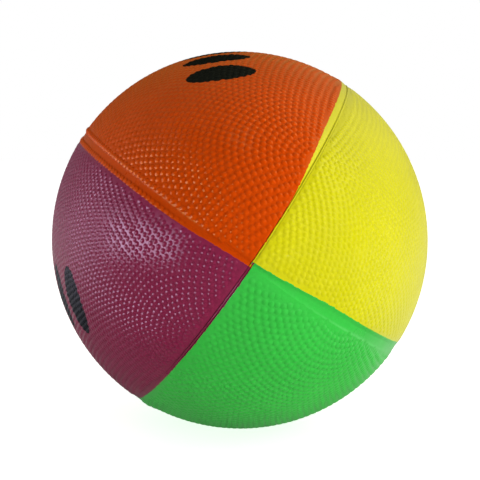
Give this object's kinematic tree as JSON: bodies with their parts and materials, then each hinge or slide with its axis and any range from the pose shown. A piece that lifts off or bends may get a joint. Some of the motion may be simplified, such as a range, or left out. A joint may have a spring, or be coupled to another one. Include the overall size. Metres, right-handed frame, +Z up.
{
  "type": "mini rugby ball",
  "caption": "Small pebbled rubber rugby ball with coloured panels, moulded seam channels, a layered inflatable core and a needle valve with a pull-out plug.",
  "frame": {"origin": "centre of the ball", "axes": "+Z up with the ball lying on its side, Y along the ball's long axis, -Y towards the end that the picture shows"},
  "size_m": [0.104, 0.159, 0.1037],
  "materials": {
    "orange_rubber": "semi-gloss, pebbled",
    "purple_rubber": "semi-gloss, pebbled",
    "green_rubber": "semi-gloss, pebbled",
    "yellow_rubber": "semi-gloss, pebbled",
    "carcass_rubber": "matt",
    "winding_thread": "wound thread",
    "bladder_rubber": "smooth",
    "valve_rubber": "smooth",
    "plug_rubber": "smooth"
  },
  "bodies": {
    "ball": {"panel_orange": "orange_rubber", "panel_purple": "purple_rubber", "panel_green": "green_rubber", "panel_yellow": "yellow_rubber", "carcass": "carcass_rubber", "thread_winding": "winding_thread", "bladder": "bladder_rubber", "valve_patch": "bladder_rubber", "valve_housing": "valve_rubber"},
    "plug": {"valve_plug": "plug_rubber"}
  },
  "joints": [
    {"name": "plug_pull", "type": "slide", "parent": "ball", "child": "plug", "axis": [0.9833, 0, 0.1822], "range_m": [0, 0.016]}
  ]
}
